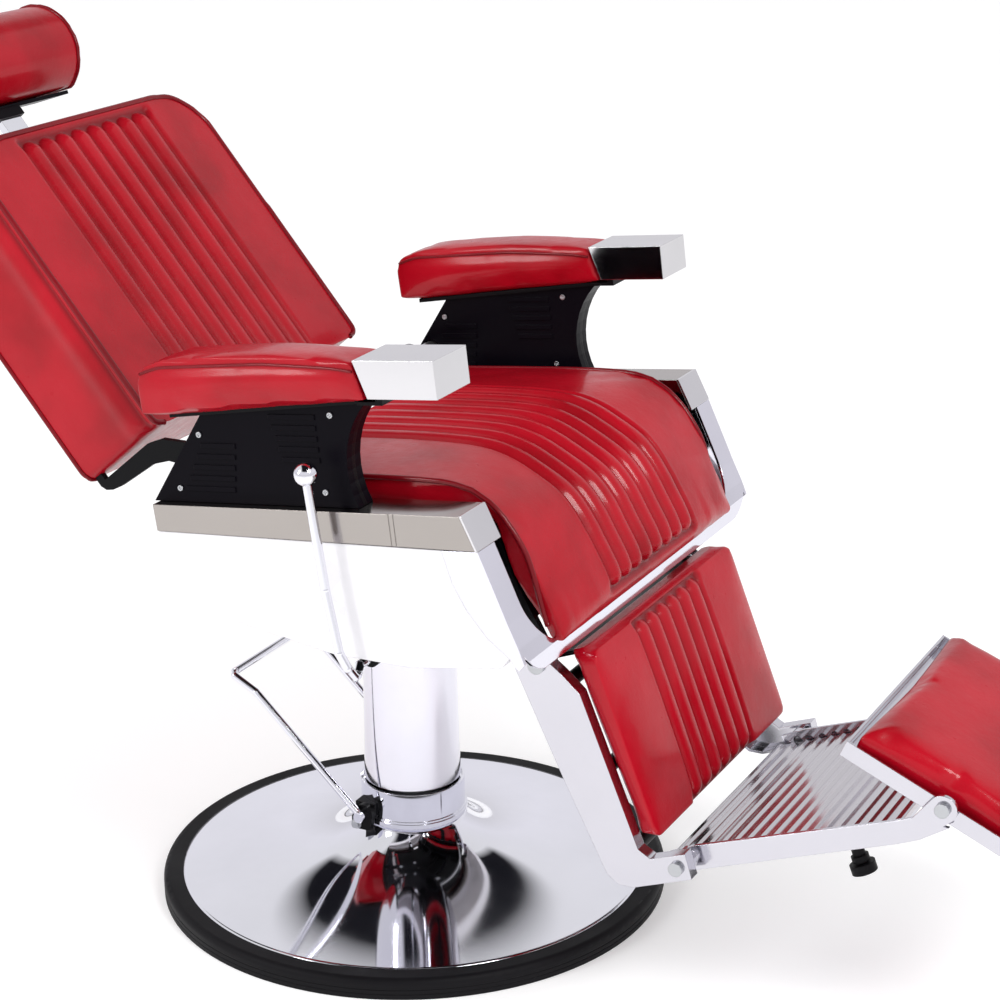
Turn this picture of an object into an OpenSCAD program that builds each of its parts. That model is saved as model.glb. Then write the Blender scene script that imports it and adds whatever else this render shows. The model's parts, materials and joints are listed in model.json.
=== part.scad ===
// Hydraulic barber chair with a tilting seat frame, a coupled back and leg rest,
// a flip-over foot pad, a pump base and a sliding headrest.
// +X is the way the sitter faces, +Y is the sitter's left, +Z is up.
// The origin is the centre of the base's underside, on the floor.

/* [Base and pump] */
// Radius of the base over its rubber ring
base_r = 330; // [300:5:360]
// Height of the rubber ring
ring_h = 26; // [20:1:32]
// Width of the rubber ring's tread
ring_w = 26; // [20:1:32]
// Radius of the trumpet's neck
neck_r = 66; // [60:1:70]
// Height of the trumpet's neck above the floor
neck_h = 96; // [90:1:102]
// Height of the top of the collar
collar_top = 143; // [138:1:150]
// Radius of the pump's ram
ram_r = 25; // [22:1:28]

/* [Seat frame] */
// Height of the seat frame's datum above the floor
seat_h = 610; // [590:5:640]
// Backward rake of the whole seat frame, in degrees
rake = 6.4; // [4:0.1:8]
// Half width over the side shells
half_w = 322; // [312:1:332]
// Half width of the seat cushion
seat_half_w = 246; // [236:1:248]

/* [Arms] */
// Width of an arm pad
pad_w = 74; // [66:1:80]
// Distance of an arm's middle plane from the chair's middle
arm_y = 298; // [292:1:302]
// Diameter of the screws in the arm covers
screw_d = 7; // [6:0.5:9]

/* [Back and headrest] */
// Height of the back along its face
back_h = 418; // [400:2:440]
// Half width of the back
back_half_w = 240; // [230:1:244]
// Thickness of the back at its bottom
back_t = 146; // [130:1:150]
// Lean of the back from the seat frame's upright, in degrees
back_lean = 33.3; // [25:0.1:40]
// Radius of the headrest roll
roll_r = 66; // [58:1:72]
// Length of the headrest roll
roll_len = 290; // [260:2:320]

/* [Leg rest and foot rest] */
// Half width over the leg plates
leg_half_w = 212; // [205:1:216]
// Lean of the calf board from the seat frame's upright, in degrees
leg_lean = 14.6; // [10:0.1:20]
// Height of the calf pad along its face
calf_h = 236; // [220:1:242]
// Half width of the ribbed foot plate
tread_half_w = 174; // [166:1:178]
// Number of ribs on the foot plate
tread_ribs = 17; // [11:1:21]
// Half width of the flip pad's tray
tray_half_w = 172; // [160:1:172]
// Length of the flip pad's tray
tray_len = 246; // [230:1:254]

/* [Hidden] */
$fn = 72;

eps = 0.5;
// Swelling of a rod at its elbows
elbow = 1.04;
// Running clearance between a shaft and its bore
run = 0.05;

// Pump and column
cyl_r = 44;
cyl_bore = 34;
cyl_top = 300;
shroud_r_low = 63;
shroud_r_top = 58;
shroud_wall = 2.5;
shroud_low = collar_top + 3;
shroud_top = 458;
collar_r = neck_r + 2;
pedal_x = -30;
pedal_z = 112;
pedal_r = 5;
pedal_half_w = 85;
ear_in = 69.5;
ear_out = 79;

// Seat frame, in its own raked frame
rail_top = 0;
rail_in = half_w - 54;
rail_h_rear = 32;
rail_h_front = 39;
rail_rear = -154;
rail_front = 254;
shell_in = half_w - 26;
plate_x = -12;
plate_z = -130;
plate_t = 8;
spar_y = 90;

// Arms
arm_in = arm_y - pad_w / 2;
arm_out = arm_y + pad_w / 2;
cover_t = 12;
web_t = 6;
screw_spots = [[-84, 82], [-121, 17], [97, 108], [78, 18]];

// Pivots, in the raked frame
recline_at = [-112, 38];
leg_at = [268, -212];
gas_front = [170, -57];
gas_drop = -95;
link_arm = [8, -94];
link_y = 130;
shaft_r = 10;
pin_r = 5;

// Back, in the frame of its own face
back_foot = [-193.6, 68];
post_x = -101.5;
back_corner_high = 75;
back_corner_low = 22;

// Leg rest, in the frame of its own face
calf_x = 48.4;
foot_pin = [86, -268];
flip_pin = [410, -258];
tread_z = -266;
tread_from = 56;
tread_to = 352;
flip_tilt = 45;

red = [0.72, 0.09, 0.12];
chrome = [0.86, 0.87, 0.9];
black = [0.09, 0.09, 0.1];
white = [0.96, 0.95, 0.96];
steel = [0.6, 0.61, 0.63];

// Frames: the raked seat, the back's face, the leg rest's face and the flip pad
module in_seat() {
    translate([0, 0, seat_h]) rotate([0, -rake, 0]) children();
}
module in_back() {
    in_seat() translate([back_foot[0], 0, back_foot[1]]) rotate([0, -back_lean, 0]) children();
}
module in_leg() {
    in_seat() translate([leg_at[0], 0, leg_at[1]]) rotate([0, -leg_lean, 0]) children();
}
module in_flip() {
    in_leg() translate([flip_pin[0], 0, flip_pin[1]]) rotate([0, flip_tilt, 0]) children();
}

// An outline drawn in X and Z, thick from y0 to y1
module slab(y0, y1) {
    translate([0, y1, 0]) rotate([90, 0, 0]) linear_extrude(height = y1 - y0) children();
}
// A round bar along Y through the point [x, z]
module bar_y(at, r, y0, y1) {
    translate([at[0], y0, at[1]]) rotate([-90, 0, 0]) cylinder(r = r, h = y1 - y0);
}
// A box given by its low and high corners
module block(low, high) {
    translate(low) cube(high - low);
}
module one_side(left) {
    if (left) children();
    else mirror([0, 1, 0]) children();
}
module both_sides() {
    children();
    mirror([0, 1, 0]) children();
}
// A round rod between two points
module rod(a, b, r) {
    d = b - a;
    span = norm(d);
    translate(a) rotate([0, acos(d[2] / span), atan2(d[1], d[0])]) cylinder(r = r, h = span);
}
// A rod bent at each point, with round elbows
module bent_rod(points, r) {
    for (i = [0 : len(points) - 2]) rod(points[i], points[i + 1], r);
    for (i = [1 : len(points) - 2]) translate(points[i]) sphere(r = r * elbow, $fn = 24);
}

// ---- Base ----
module base_plate() {
    color(steel) difference() {
        cylinder(r = base_r - ring_w - 4, h = 8);
        for (a = [45 : 90 : 315]) rotate(a) translate([150, 0, 2]) cylinder(r = 4, h = 8);
    }
}

// The trumpet's outline, from the rim to the neck
function flare(t) = let (r = neck_r + (base_r - ring_w - neck_r) * (1 - t))
    [r, ring_h - 3 + (neck_h - ring_h + 3) * pow(neck_r / r, 1.15) * (0.25 + 0.75 * t)];
trumpet = [for (i = [0 : 12]) flare(i / 12)];

module base_shell() {
    wall = 2.5;
    rim = base_r - ring_w;
    color(chrome) rotate_extrude($fn = 120) polygon(concat(
        [[rim - wall, 8.2], [rim, 8.2]],
        trumpet,
        [for (i = [12 : -1 : 0]) trumpet[i] - [wall, wall * (1 - i / 16)]]));
}

module rubber_ring() {
    color(black) rotate_extrude($fn = 120) difference() {
        union() {
            translate([base_r - ring_w, 0]) square([ring_w, ring_h - 8]);
            translate([base_r - ring_w, 0]) square([ring_w - 8, ring_h]);
            translate([base_r - 8, ring_h - 8]) circle(r = 8, $fn = 32);
        }
        for (k = [0 : 1]) translate([base_r - eps, 6 + 6 * k]) square([2, 1.5]);
    }
}

module pump_cylinder() {
    color(steel) difference() {
        union() {
            translate([0, 0, 8]) cylinder(r = cyl_r, h = cyl_top - 8);
            translate([0, 0, 8]) cylinder(r = neck_r - 6, h = neck_h - 12);
        }
        translate([0, 0, 30]) cylinder(r = cyl_bore, h = cyl_top);
        for (s = [-1, 1]) translate([-46, s * 20, 20]) cylinder(r = 6.05, h = 80);
    }
}

module pump_collar() {
    color(chrome) rotate_extrude($fn = 96) difference() {
        union() {
            translate([0, neck_h]) square([collar_r, collar_top - neck_h]);
            translate([0, neck_h]) square([collar_r + 3, 6]);
            translate([0, neck_h + 6]) square([collar_r + 1.5, 3]);
        }
        translate([-1, neck_h - 1]) square([cyl_r + 1, collar_top]);
        translate([0, collar_top - 4]) square([shroud_r_low + 1.5, 8]);
    }
}

module ram_bush() {
    color([0.75, 0.6, 0.3]) translate([0, 0, cyl_top - 60]) difference() {
        union() {
            cylinder(r = cyl_bore, h = 60);
            translate([0, 0, 60]) cylinder(r = cyl_r, h = 6);
        }
        translate([0, 0, -1]) cylinder(r = ram_r + run, h = 80);
    }
}

// The two small plungers that the pedal's cam drives
module oil_plunger() {
    color(steel) for (s = [-1, 1]) translate([-46, s * 20, 24]) cylinder(r = 6, h = 60);
}

module pedal_bracket() {
    color(black) both_sides() difference() {
        union() {
            slab(ear_in, ear_out) hull() {
                translate([pedal_x, pedal_z]) circle(r = 13, $fn = 32);
                translate([pedal_x - 4, pedal_z - 14]) square([26, 16], center = true);
            }
            block([pedal_x - 16, 40, neck_h + 10], [pedal_x + 12, ear_in + eps, neck_h + 28]);
        }
        bar_y([pedal_x, pedal_z], 7 + run, ear_in - 1, ear_out + 1);
        translate([0, 0, neck_h - 30]) cylinder(r = collar_r + 0.05, h = 80);
    }
}

module bracket_bolts() {
    color(steel) both_sides() translate([pedal_x - 10, ear_out + 0.05, pedal_z - 15])
        rotate([-90, 0, 0]) {
            cylinder(r = 5.5, h = 5, $fn = 6);
            cylinder(r = 7, h = 1.2);
        }
}

// ---- Pump pedal ----
// One rod bent into a loop, with a stub shaft welded to each end
module pump_pedal() {
    w = pedal_half_w;
    color(chrome) {
        both_sides() bar_y([pedal_x, pedal_z], 7, ear_in - 0.5, 92);
        bent_rod([[pedal_x, -w, pedal_z], [-182, -w, 257], [-214, -w, 274], [-219, -w + 8, 276],
            [-219, w - 8, 276], [-214, w, 274], [-182, w, 257], [pedal_x, w, pedal_z]], pedal_r);
    }
}

// ---- Ram ----
module ram_rod() {
    color(chrome) translate([0, 0, 86]) cylinder(r = ram_r, h = 364);
}
module ram_piston() {
    color(steel) difference() {
        translate([0, 0, 50]) cylinder(r = cyl_bore - 0.3, h = 36);
        for (k = [0 : 1]) translate([0, 0, 58 + 14 * k]) difference() {
            cylinder(r = cyl_bore + 2, h = 5);
            translate([0, 0, -1]) cylinder(r = cyl_bore - 3, h = 7);
        }
    }
}

// ---- Seat body ----
module swivel_hub() {
    color(black) difference() {
        union() {
            in_seat() block([plate_x - 62, -105, plate_z - plate_t], [plate_x + 62, 105, plate_z]);
            translate([0, 0, 396]) cylinder(r = 42, h = 74);
            for (a = [45 : 90 : 315]) rotate(a)
                translate([38, -4, 420]) cube([24, 8, 44]);
        }
        translate([0, 0, 390]) cylinder(r = ram_r + run, h = 60);
        in_seat() for (x = [plate_x - 40, plate_x + 46], s = [-1, 1])
            translate([x, s * spar_y, plate_z - 20]) cylinder(r = 5.2, h = 40);
        in_seat() block([-200, -200, plate_z], [200, 200, plate_z + 100]);
    }
}

module column_shroud() {
    color(chrome) difference() {
        translate([0, 0, shroud_low])
            cylinder(r1 = shroud_r_low, r2 = shroud_r_top, h = shroud_top - shroud_low, $fn = 96);
        translate([0, 0, shroud_low - 1]) cylinder(r1 = shroud_r_low - shroud_wall,
            r2 = shroud_r_top - shroud_wall, h = shroud_top - shroud_low + 2, $fn = 96);
        for (a = [45 : 90 : 315]) rotate(a) translate([44, -5, 415]) cube([40, 10, 60]);
    }
}

module hub_bolts() {
    color(steel) in_seat() for (x = [plate_x - 40, plate_x + 46], s = [-1, 1])
        translate([x, s * spar_y, plate_z - plate_t - 6]) {
            cylinder(r = 8.5, h = 6, $fn = 6);
            cylinder(r = 5, h = 34);
        }
}

module seat_frame() {
    color(black) in_seat() difference() {
        union() {
            both_sides() block([-160, spar_y - 15, plate_z], [230, spar_y + 15, plate_z + 30]);
            block([-160, -rail_in, plate_z], [-148, rail_in, -70]);
            both_sides() block([-160, rail_in - 10, -72], [-148, rail_in, -14]);
            block([218, -rail_in, plate_z], [230, rail_in, -42]);
            both_sides() block([218, rail_in - 10, -44], [230, rail_in, -6]);
            both_sides() block([-160, rail_in - 14, -70], [230, rail_in - 8, -42]);
            // Ears that carry the leg rest
            both_sides() slab(184, 192) hull() {
                translate([222, -100]) circle(r = 12, $fn = 32);
                translate(leg_at) circle(r = 13, $fn = 32);
                translate([222, -130]) circle(r = 12, $fn = 32);
            }
            // Ears that carry the gas spring
            both_sides() slab(9, 15) hull() {
                translate(gas_front) circle(r = 11, $fn = 32);
                translate([220, -60]) circle(r = 13, $fn = 32);
            }
            bar_y(gas_front, pin_r, -15, 15);
            // Bush for the recline lever
            slab(-256, -240) hull() {
                translate([72, -200]) circle(r = 12, $fn = 32);
                translate([72, -60]) circle(r = 12, $fn = 32);
            }
        }
        bar_y(leg_at, 6.05, -200, 200);
        bar_y([72, -200], 6.1, -260, -230);
        for (x = [plate_x - 40, plate_x + 46], s = [-1, 1])
            translate([x, s * spar_y, plate_z - 2]) cylinder(r = 5.2, h = 24.2);
    }
}

module seat_board() {
    color([0.76, 0.62, 0.42]) in_seat() slab(-seat_half_w + 12, seat_half_w - 12)
        polygon([[-66, -28], [-66, -40], [232, -40], [250, -100], [272, -150],
            [284, -146], [262, -96], [244.5, -28]]);
}

// The seat cushion's side outline, over the board and down the front
module seat_outline() {
    polygon([[-72, -27.5], [-86, 8], [-80, 21], [-60, 27], [90, 27], [190, 23], [230, 13],
        [256, -4], [279, -31], [299, -70], [313, -112], [321, -142], [320, -157], [313, -163.5],
        [296, -163.5], [290, -158], [286, -145], [263, -96], [245, -27.5]]);
}
module seat_cushion() {
    color(red) in_seat() slab(-seat_half_w, seat_half_w) seat_outline();
}

shell_edge = [[296, -162], [270, -138], [249, -108], [235, -78], [226, -40]];
module shell_outline() {
    polygon(concat([[-152, -33], [-169, -76], [-157, -104], [-84, -133], [69, -172], [167, -181],
        [284, -174]], shell_edge));
}
module side_shell(left) {
    color(white) in_seat() one_side(left) difference() {
        slab(shell_in, half_w) shell_outline();
        slab(shell_in - 1, half_w - 4) offset(delta = -4) shell_outline();
    }
}
module side_shell_right() { side_shell(false); }
module side_shell_left() { side_shell(true); }

module side_rail(left) {
    outline = [[rail_rear, 0], [rail_front, 0], [rail_front + 15, -rail_h_front],
        [rail_rear + 1, -rail_h_rear]];
    color(chrome) in_seat() one_side(left) difference() {
        slab(rail_in, half_w + 2) polygon(outline);
        slab(rail_in + 2.5, half_w - 0.5) offset(delta = -2.5) polygon(outline);
        for (x = [164, 170]) block([x, half_w + 1.2, -50], [x + 1.2, half_w + 3, 2]);
    }
}
module side_rail_right() { side_rail(false); }
module side_rail_left() { side_rail(true); }

// Polished caps that close the front ends of the rails
module rail_caps() {
    color(chrome) in_seat() both_sides() slab(rail_in, half_w + 2)
        polygon([[rail_front, 0.5], [rail_front + 3, 0.5], [rail_front + 18.2, -rail_h_front - 0.5],
            [rail_front + 15.2, -rail_h_front - 0.5]]);
}

// The polished surround under the seat's front: two wings and a cross bar
apron_front = [[272, -40], [286, -82], [299, -122], [309, -150], [314, -168], [314, -188]];
module apron_wing_outline() {
    polygon(concat([[227, -40]], [for (i = [0 : 4]) shell_edge[4 - i] + [0.6, 0]],
        [[300, -170], [306, -176]], [for (i = [4 : -1 : 0]) apron_front[i]]));
}
module front_apron() {
    color(chrome) in_seat() {
        both_sides() slab(half_w - 4, half_w + 1) apron_wing_outline();
        difference() {
            slab(-half_w - 1, half_w + 1) polygon(concat(apron_front,
                [for (i = [5 : -1 : 0]) apron_front[i] - [4, 0]]));
            // The opening that the seat cushion fills
            translate([200, 0, -169]) rotate([90, 0, 90]) linear_extrude(height = 200) hull() {
                for (s = [-1, 1]) translate([s * (rail_in + 16 - 62), 62]) circle(r = 62, $fn = 64);
                translate([-rail_in - 16, 160]) square([2 * rail_in + 32, 10]);
            }
            // Rounded lower corners
            both_sides() translate([200, half_w - 58, -189]) rotate([90, 0, 90])
                linear_extrude(height = 200) difference() {
                    translate([0, -30]) square([90, 82]);
                    translate([0, 52]) scale([1.15, 1]) circle(r = 52, $fn = 64);
                    translate([-5, 0]) square([6, 90]);
                }
        }
    }
}

// ---- Arms ----
// The line of the arm pad's underside
function pad_z(x) = 117 + 0.078 * x;
tongue_z = pad_z(143);
// The hollow front edge, an arc from the pad down to the rail
nose = [for (i = [0 : 9]) let (a = 133 + 71.3 * i / 9) [216, 44] + 106 * [cos(a), sin(a)]];
module cover_outline(top) {
    polygon(concat([[-161, 0.3], [-79, pad_z(-79) + top], [147, pad_z(147) + top]], nose));
}
module arm_frame(left) {
    color(black) in_seat() one_side(left) difference() {
        union() {
            slab(web_in, web_out) cover_outline(-2.5);
            slab(arm_y - 24, arm_y + 16) polygon([[-118, pad_z(-118)], [150, pad_z(150)],
                [150, pad_z(150) - 5], [-118, pad_z(-118) - 5]]);
            // Tongue that the polished tip slides on to
            block([144, arm_in + 10, tongue_z - 4], [176, arm_out - 10, tongue_z]);
            block([168, arm_in + 10, tongue_z - 4], [176, arm_out - 10, 174.4]);
            block([168, arm_in + 10, 166], [236, arm_out - 10, 174.4]);
        }
        bar_y(recline_at, shaft_r + run, 200, 340);
        for (p = screw_spots) bar_y(p, 2, 280, 320);
    }
}
module arm_frame_right() { arm_frame(false); }
module arm_frame_left() { arm_frame(true); }

web_in = arm_y - 4 - web_t / 2;
web_out = arm_y - 4 + web_t / 2;
// Raised ribs in two stepped groups, standing 1.6 mm proud
module cover_ribs() {
    for (k = [0 : 4]) translate([-112 + 7 * k, 14 + 13 * k]) square([68 - 5 * k, 6]);
    for (k = [0 : 4]) translate([26 - 3 * k, 52 + 12.5 * k]) square([50 + 3 * k, 6]);
}
module arm_cover(left, y0, y1, face) {
    color(black) in_seat() one_side(left) difference() {
        union() {
            slab(y0, y1) cover_outline(-5.2);
            slab(face > 0 ? y1 - eps : y0 - 1.6, face > 0 ? y1 + 1.6 : y0 + eps) cover_ribs();
        }
        slab(face > 0 ? y0 - 1 : y0 + 3, face > 0 ? y1 - 3 : y1 + 1) offset(delta = -4)
            cover_outline(-5.2);
        for (p = screw_spots) bar_y(p, screw_d / 2 - 1.4, y0 - 4, y1 + 4);
        bar_y(recline_at, shaft_r + 2, 200, web_in + 1);
    }
}
module outer_cover_right() { arm_cover(false, web_out, web_out + cover_t, 1); }
module outer_cover_left() { arm_cover(true, web_out, web_out + cover_t, 1); }
module inner_cover_right() { arm_cover(false, web_in - cover_t, web_in, -1); }
module inner_cover_left() { arm_cover(true, web_in - cover_t, web_in, -1); }

// Cross-head screws in both faces of both arms
module cover_screws() {
    color(steel) in_seat() both_sides() for (p = screw_spots, out = [true, false]) {
        y = out ? web_out + cover_t : web_in - cover_t;
        difference() {
            bar_y(p, screw_d / 2, out ? y + 0.02 : y - 2, out ? y + 2 : y - 0.02);
            for (a = [0, 90]) translate([p[0], out ? y + 2 : y - 2, p[1]]) rotate([0, a, 0])
                cube([screw_d * 0.6, 1.6, 1.1], center = true);
        }
    }
}

module arm_pad(left) {
    color(red) in_seat() one_side(left) slab(arm_in, arm_out)
        polygon([[-145, 106], [-146, 150], [-138, 168], [-110, 178], [30, 184], [149, 177],
            [163, pad_z(163) + 0.3], [-120, pad_z(-120) + 0.3]]);
}
module arm_pad_right() { arm_pad(false); }
module arm_pad_left() { arm_pad(true); }

module arm_tip(left) {
    outline = [[150.5, 177], [252, 177], [252, 134], [164.5, 134]];
    color(chrome) in_seat() one_side(left) difference() {
        slab(arm_in, arm_out) polygon(outline);
        slab(arm_in + 2.5, arm_out - 2.5) polygon([[140, 174.5], [249.5, 174.5], [249.5, 136.5],
            [140, 136.5]]);
        block([140, arm_in + 9.9, 130], [178, arm_out - 9.9, 140]);
    }
}
module arm_tip_right() { arm_tip(false); }
module arm_tip_left() { arm_tip(true); }

module leg_hinge_bolts() {
    color(steel) in_seat() both_sides() {
        bar_y(leg_at, 6, 178, leg_half_w + 2);
        bar_y(leg_at, 10, 178, 183.95);
        bar_y(leg_at, 10, leg_half_w + 0.3, leg_half_w + 5);
    }
}

// ---- Recline lever ----
lever_y = -345;
module recline_lever() {
    route = [[78, lever_y, 40], [83, lever_y, -85], [90, lever_y, -160], [96, lever_y + 4, -180],
        [96, lever_y + 16, -195], [88, lever_y + 34, -200], [72, lever_y + 66, -200]];
    color(chrome) in_seat() {
        bent_rod(concat(route, [[72, -258, -200]]), 5.5);
        bar_y([72, -200], 6, -268, -215);
    }
}
module lever_knob() {
    color(chrome) in_seat() difference() {
        translate([78, lever_y, 50]) sphere(r = 14, $fn = 48);
        rod([78, lever_y, 30], [78, lever_y, 40.1], 5.6);
    }
}

// ---- Back ----
module recline_shaft() {
    color(steel) in_seat() {
        bar_y(recline_at, shaft_r, -web_out + 0.2, web_out - 0.2);
        // Crank for the gas spring
        both_sides() slab(9, 15) hull() {
            translate(recline_at) circle(r = 15, $fn = 32);
            translate(recline_at + [0, gas_drop]) circle(r = 10, $fn = 32);
        }
        bar_y(recline_at + [0, gas_drop], pin_r, -15, 15);
        // Crank for the leg link
        slab(link_y + 4, link_y + 12) hull() {
            translate(recline_at) circle(r = 15, $fn = 32);
            translate(recline_at + link_arm) circle(r = 9, $fn = 32);
        }
        bar_y(recline_at + link_arm, pin_r, link_y - 6, link_y + 6);
    }
}

// Gooseneck plates from the shaft, under the back and up inside its rear panel
bracket_bolt_z = [60, 150];
module back_brackets() {
    hub = [51.7, -69.9];
    outline = [hub + [-4, -20], hub + [16, 12], [26, -48], [4, -28], [-18, -10], [-40, -3],
        [-126.6, -3], [-126.6, 182], [-138, 182], [-138, -6], [-134, -14], [-125, -19],
        [-112, -22], [-50, -27], [-28, -36], [-8, -56]];
    color(black) both_sides() difference() {
        union() {
            in_back() slab(216, 224) {
                polygon(outline);
                translate(hub) circle(r = 20);
            }
            in_back() block([-129, 180, 40], [-124.05, 220, 170]);
        }
        in_seat() bar_y(recline_at, shaft_r + 0.01, 200, 240);
        in_back() for (z = bracket_bolt_z) translate([-140, 196, z]) rotate([0, 90, 0])
            cylinder(r = 3.5, h = 20);
    }
}

// A layer of the back from x0 to x1, its outline drawn in by inset
module back_layer(x0, x1, inset) {
    high = back_corner_high;
    low = back_corner_low;
    rotate([90, 0, 90]) translate([0, 0, x0]) linear_extrude(height = x1 - x0) hull() {
        for (s = [-1, 1]) {
            translate([s * (back_half_w - high), back_h - high]) circle(r = high - inset);
            translate([s * (back_half_w - low), low]) circle(r = low - inset);
        }
    }
}

module back_board() {
    color([0.76, 0.62, 0.42]) in_back() difference() {
        back_layer(-124, -112, 12);
        for (s = [-1, 1], z = bracket_bolt_z) translate([-130, s * 196, z]) rotate([0, 90, 0])
            cylinder(r = 3.5, h = 30);
    }
}

module back_cushion() {
    color(red) in_back() difference() {
        back_layer(-111.5, 0, 0);
        block([post_x - 13, -30, 170], [post_x + 13, 30, back_h + 1]);
    }
}

module back_panel() {
    color(red) in_back() difference() {
        back_layer(-back_t - 2, -124.5, 1);
        back_layer(-back_t + 4, -120, 10);
        both_sides() block([-141, 213, -1], [-124, 227, 12]);
    }
}

module headrest_socket() {
    color(chrome) in_back() difference() {
        union() {
            block([post_x - 10, -26, 176], [post_x + 10, 26, back_h + 3]);
            block([post_x - 18, -36, back_h + 1], [post_x + 18, 36, back_h + 4]);
        }
        block([post_x - 5.3, -20.3, 170], [post_x + 5.3, 20.3, back_h + 10]);
    }
}

// ---- Headrest ----
roll_at = [-99, 559.5];
roll_tilt = 22.7;
roll_flat = -57;
post_top = 489;
module in_roll() {
    in_back() translate([roll_at[0], 0, roll_at[1]]) rotate([0, roll_tilt, 0]) children();
}
module headrest_post() {
    color(chrome) in_back() block([post_x - 5, -20, 240], [post_x + 5, 20, post_top]);
}
module headrest_plate() {
    color(black) difference() {
        union() {
            in_roll() block([-30, -135, roll_flat - 5], [30, 135, roll_flat - 0.05]);
            // Boss that the post is pressed into
            in_back() slab(-26, 26) polygon([[post_x - 9, 478], [post_x + 9, 478],
                [post_x + 9, 491.7], [post_x - 9, 499.3]]);
        }
        in_back() block([post_x - 5.3, -20.3, 470], [post_x + 5.3, 20.3, post_top + 0.5]);
        in_roll() for (s = [-1, 1]) translate([0, s * 80, roll_flat - 10]) cylinder(r = 3, h = 20);
    }
}
module headrest_roll() {
    color(red) in_roll() difference() {
        bar_y([0, 0], roll_r, -roll_len / 2, roll_len / 2);
        block([-200, -200, -200], [200, 200, roll_flat]);
    }
}

// ---- Gas spring and leg link ----
gas_rear = recline_at + [0, gas_drop];
module gas_cylinder() {
    color(black) in_seat() difference() {
        union() {
            rotate([0, 90, 0]) translate([-gas_front[1], 0, 8]) cylinder(r = 13, h = 150);
            rotate([0, 90, 0]) translate([-gas_front[1], 0, 150]) cylinder(r = 6, h = 20);
            bar_y(gas_front, 10, -8.6, 8.6);
        }
        rotate([0, 90, 0]) translate([-gas_front[1], 0, 0]) cylinder(r = 10.5, h = 148);
        bar_y(gas_front, pin_r + run, -20, 20);
    }
}
module gas_rod() {
    color(chrome) in_seat() difference() {
        union() {
            rotate([0, 90, 0]) translate([-gas_rear[1], 0, gas_rear[0]])
                cylinder(r = 4, h = 78 - gas_rear[0]);
            bar_y(gas_rear, 9, -8.6, 8.6);
        }
        bar_y(gas_rear, pin_r + run, -20, 20);
    }
}
module leg_link() {
    rear = recline_at + link_arm;
    front = leg_at + link_arm;
    color(steel) in_seat() difference() {
        slab(link_y - 3.5, link_y + 3.5) {
            translate(rear) circle(r = 10);
            translate(front) circle(r = 10);
            hull() {
                translate(rear) circle(r = 6, $fn = 32);
                translate(front) circle(r = 6, $fn = 32);
            }
        }
        bar_y(rear, pin_r + run, 100, 160);
        bar_y(front, pin_r + 0.4, 100, 160);
    }
}

// ---- Leg rest ----
module leg_outline() {
    polygon([[-30, 2], [-18, 12], [8, 12], [26, -16], [41, -44], [45.5, -238], [57, -252], [102, -253],
        [100, -284], [22, -283], [4, -276], [-5, -262], [-16, -160]]);
}
module leg_plate(left) {
    color(chrome) in_leg() one_side(left) difference() {
        slab(leg_half_w - 18, leg_half_w) leg_outline();
        slab(leg_half_w - 19, leg_half_w - 4) offset(delta = -3.5) leg_outline();
        bar_y([0, 0], 6.05, 180, 230);
        bar_y(foot_pin, 6.05, 180, 230);
    }
}
module leg_plate_right() { leg_plate(false); }
module leg_plate_left() { leg_plate(true); }

module leg_crossbars() {
    inner = leg_half_w - 18;
    color(black) in_leg() {
        for (at = [[14, -150], [2, -40], [12, -252]]) bar_y(at, 9, -inner - 13.9, inner + 13.9);
        block([5, -20, -252], [11, 20, -2]);
        block([0, -176, -6], [34, 176, -1]);
        // Pads that the calf board is screwed to
        for (s = [-1, 1]) block([9, s * 90 - 18, -157], [calf_x - 14.05, s * 90 + 18, -143]);
        for (s = [-1, 1]) block([4, s * 90 - 18, -46], [calf_x - 14.05, s * 90 + 18, -34]);
        // Crank for the leg link
        rotate([0, leg_lean, 0]) {
            slab(link_y + 4, link_y + 12) hull() {
                translate(link_arm) circle(r = 9, $fn = 32);
                translate([-8, -38]) circle(r = 13, $fn = 32);
                translate([-22, -148]) circle(r = 8, $fn = 32);
            }
            bar_y(link_arm, pin_r, link_y - 6, link_y + 6);
        }
    }
}

module calf_board() {
    color([0.76, 0.62, 0.42]) in_leg()
        block([calf_x - 14, -190, -calf_h + 8], [calf_x - 2, 190, 8]);
}
module calf_cushion() {
    r = 14;
    color(red) in_leg() rotate([90, 0, 90]) translate([0, 0, calf_x - 1.95])
        linear_extrude(height = 28) for (sx = [-1, 1]) hull() {
            for (z = [-calf_h + r, -1 - r]) {
                translate([sx * (205 - r), z]) circle(r = r, $fn = 32);
                translate([0, z]) square([1, 2 * r], center = true);
            }
        }
}

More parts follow.
